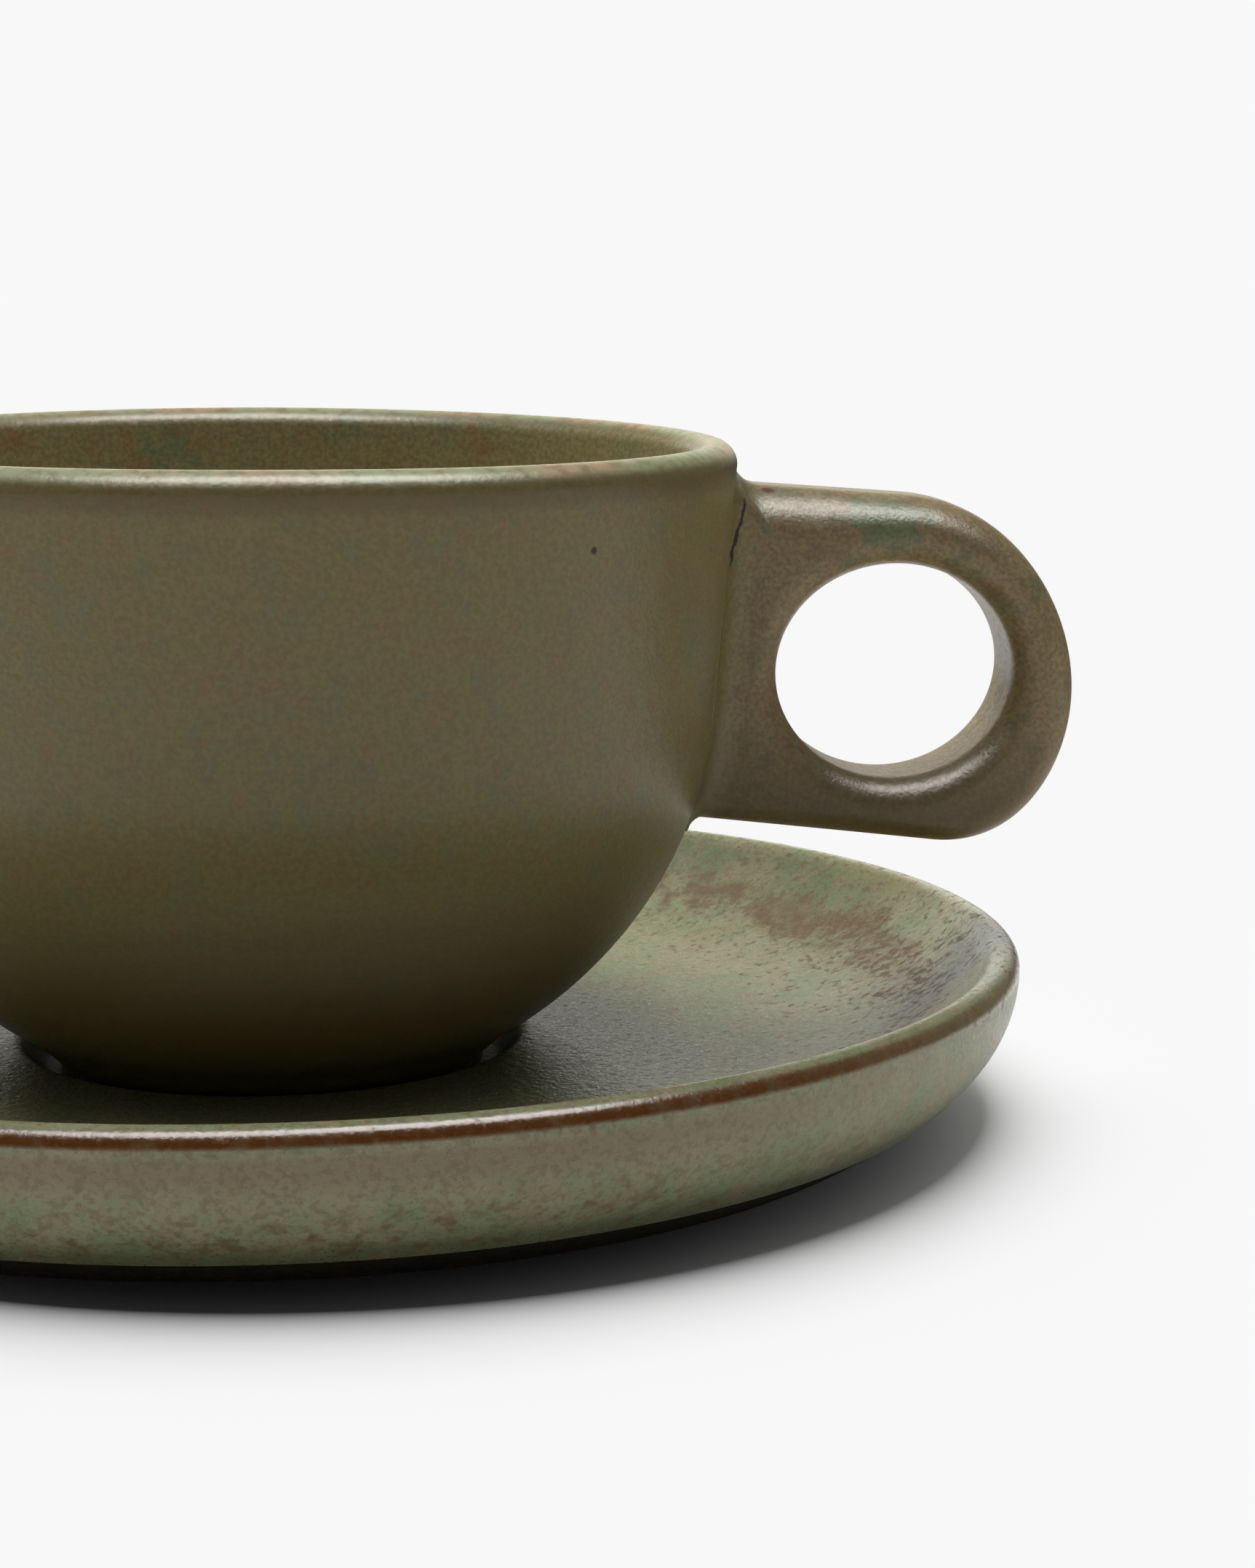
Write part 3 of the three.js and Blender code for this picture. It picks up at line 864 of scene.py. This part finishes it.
def leave_underside_bare(saucer):
    """Gives the faces of the underside, up to the hip, to the bare clay, whose near-black colour is
    painted shade.
    """
    saucer.data.materials.append(shaded_bare_clay())
    for face in saucer.data.polygons:
        if face.center.z < HIP_HEIGHT * MM and face.normal.z < UNDERSIDE_LEAN:
            face.material_index = 1


def make_cup():
    profile = cup_profile()
    height = profile[:, 1]
    lip_angle = np.arctan2(height - RIM_CENTRE[1], profile[:, 0] - RIM_CENTRE[0])
    outside = np.arange(len(profile)) < np.argmax(height)
    painted_reflection_under_lip = (height - CUP_HEIGHT + UNDER_LIP_DROP) / UNDER_LIP_SPREAD
    inside_start, inside_whole = (CUP_HEIGHT - drop for drop in INSIDE_DROPS)
    masks = {
        "lip": between(lip_angle, *CUP_LIP_ANGLES) * smooth(CUP_LIP_START, 0, height - RIM_CENTRE[1]),
        "painted_reflection_under_lip": PAINTED_SHADE * outside * np.exp(-(painted_reflection_under_lip**2)),
        "inside": (~outside) * smooth(inside_start, inside_whole, height),
        "low": PAINTED_SHADE * outside * smooth(*LOW_SHADE_HEIGHTS, height),
    }
    points, faces = turned(profile)
    points, masks = sag_rim(points + [0, 0, SEAT_HEIGHT]), round_the_axis(masks)
    mesh_piece("cup_body_glazed", points, faces, masks, cup_glaze(), **CUP_BODY)


def make_handle():
    points, faces, wall_gap = handle_shape()
    mesh_piece("cup_handle_glazed", points, faces, {"wall_gap": wall_gap}, handle_glaze(), **CUP_HANDLE)


# Studio
BACKGROUND = 0.939
FLOOR_HALF = 3000
DARK_CARD = colour(0.1, 0.1, 0.1)
CARD_RIGHT = (110, 190)
CARD_BACK = (0, 50)
SHADOW_CENTRE = (4.5, 4, 0)
SHADOW_EDGE = 68
SHADOW_FADE = 5.9
BACK_LIGHT = 1.0
PANEL_LIGHT = 1.3
PANEL_WHITE = colour(1, 0.985, 0.91)
SIDE_LIGHT = 0.53
FRONT_LIGHT = 0.07
CEILING_LIGHT = 0.08
TOP_LIGHT = {"place": (-90, 320, 640), "size": (680, 520), "power": 5.5}
EDGE_LIGHT = {"place": (40, -140, 560), "size": (620, 300), "power": 7.5}
CAMERA_PLACE = (-0.68, -322.8, 89.6)
CAMERA_PITCH = math.radians(90 - 9.995)
CAMERA_YAW = math.radians(-6.498)
CAMERA_LENS = 74.94
CAMERA_SENSOR = 36
CAMERA_NEAR = 10

# Parts of the room, by how far a direction points to the back or up
ROOM_SIDES = (-0.75, 0.15)
ROOM_BACK = (0.78, 0.96)
ROOM_CEILING = (0.45, 0.8)
PANEL_BACK = (0.84, 0.94)
PANEL_UP = (0, 0.08)
PANEL_FOOT = 0.5


def floor_white():
    """Lit near the object, where its shadow falls, and plain white to the camera further out."""
    material = bpy.data.materials.new("floor_white")
    nodes = Nodes(material)
    beyond = nodes.math("MAXIMUM", nodes.math("SUBTRACT", nodes.gap(SHADOW_CENTRE), SHADOW_EDGE), 0.0)
    shade = nodes.math("EXPONENT", nodes.math("DIVIDE", beyond, -SHADOW_FADE))
    path = nodes.add("ShaderNodeLightPath").outputs
    open_floor = nodes.product(path["Is Camera Ray"], nodes.math("SUBTRACT", 1.0, shade))
    # Only gloss sees the dark card, on the floor at the back right.
    x, y, _ = nodes.split(nodes.place())
    card = nodes.product(path["Is Glossy Ray"], nodes.ease(x, *CARD_RIGHT), nodes.ease(y, *CARD_BACK))
    white = colour(BACKGROUND, BACKGROUND, BACKGROUND)
    lit = nodes.add("ShaderNodeBsdfDiffuse", {"Color": nodes.mix(card, white, DARK_CARD)})
    plain = nodes.add("ShaderNodeEmission", {"Color": white, "Strength": 1})
    both = nodes.shaders(open_floor, lit, plain)
    nodes.add("ShaderNodeOutputMaterial", {"Surface": both.outputs[0]})
    return material


def make_floor():
    mesh = bpy.data.meshes.new("floor")
    corners = [(-1, -1, 0), (1, -1, 0), (1, 1, 0), (-1, 1, 0)]
    mesh.from_pydata((np.array(corners) * FLOOR_HALF * MM).tolist(), [], [(0, 1, 2, 3)])
    mesh.materials.append(floor_white())
    floor = new_object("floor", mesh)


def make_world():
    """A room, bright at the back and dim in front. Gloss sees a panel, and the camera plain white."""
    world = bpy.data.worlds.new("studio")
    bpy.context.scene.world = world
    nodes = Nodes(world)
    _, back, up = nodes.split(nodes.add("ShaderNodeTexCoord").outputs["Generated"])
    room = nodes.ease(back, *ROOM_SIDES, FRONT_LIGHT, SIDE_LIGHT)
    room = nodes.math("MAXIMUM", room, nodes.ease(back, *ROOM_BACK, 0, BACK_LIGHT))
    room = nodes.math("MAXIMUM", room, nodes.ease(up, *ROOM_CEILING, 0, CEILING_LIGHT))
    panel = nodes.product(nodes.ease(back, *PANEL_BACK), nodes.ease(up, *PANEL_UP, PANEL_FOOT, 1))
    mirrored = nodes.math("MAXIMUM", nodes.product(panel, PANEL_LIGHT), FRONT_LIGHT)
    path = nodes.add("ShaderNodeLightPath").outputs
    white = colour(1, 1, 1)
    unseen = nodes.add("ShaderNodeBackground", {"Color": white, "Strength": room})
    gloss = nodes.add("ShaderNodeBackground", {"Color": PANEL_WHITE, "Strength": mirrored})
    seen = nodes.add("ShaderNodeBackground", {"Color": white, "Strength": BACKGROUND})
    light = nodes.shaders(path["Is Glossy Ray"], unseen, gloss)
    both = nodes.shaders(path["Is Camera Ray"], light, seen)
    nodes.add("ShaderNodeOutputWorld", {"Surface": both.outputs[0]})


def make_light(name, place, size, power):
    """A soft box that shines at the object."""
    lamp = bpy.data.lights.new(name, "AREA")
    lamp.shape = "RECTANGLE"
    lamp.size, lamp.size_y = size[0] * MM, size[1] * MM
    lamp.energy = power
    light = new_object(name, lamp)
    light.location = [c * MM for c in place]
    light.rotation_euler = Vector(place).to_track_quat("Z", "Y").to_euler()
    return light


def make_camera():
    lens = bpy.data.cameras.new("camera")
    lens.sensor_fit = "VERTICAL"
    lens.sensor_height = CAMERA_SENSOR
    lens.lens = CAMERA_LENS
    lens.clip_start = CAMERA_NEAR * MM
    camera = new_object("camera", lens)
    camera.location = [c * MM for c in CAMERA_PLACE]
    camera.rotation_euler = (CAMERA_PITCH, 0, CAMERA_YAW)
    bpy.context.scene.camera = camera


make_saucer()
make_cup()
make_handle()
make_floor()
make_world()
# The top lamp lights the object and isn't mirrored in it. The edge lamp gives it gloss alone.
make_light("top_light", **TOP_LIGHT).visible_glossy = False
make_light("edge_light", **EDGE_LIGHT).visible_diffuse = False
make_camera()
bpy.context.scene.view_settings.view_transform = "Standard"
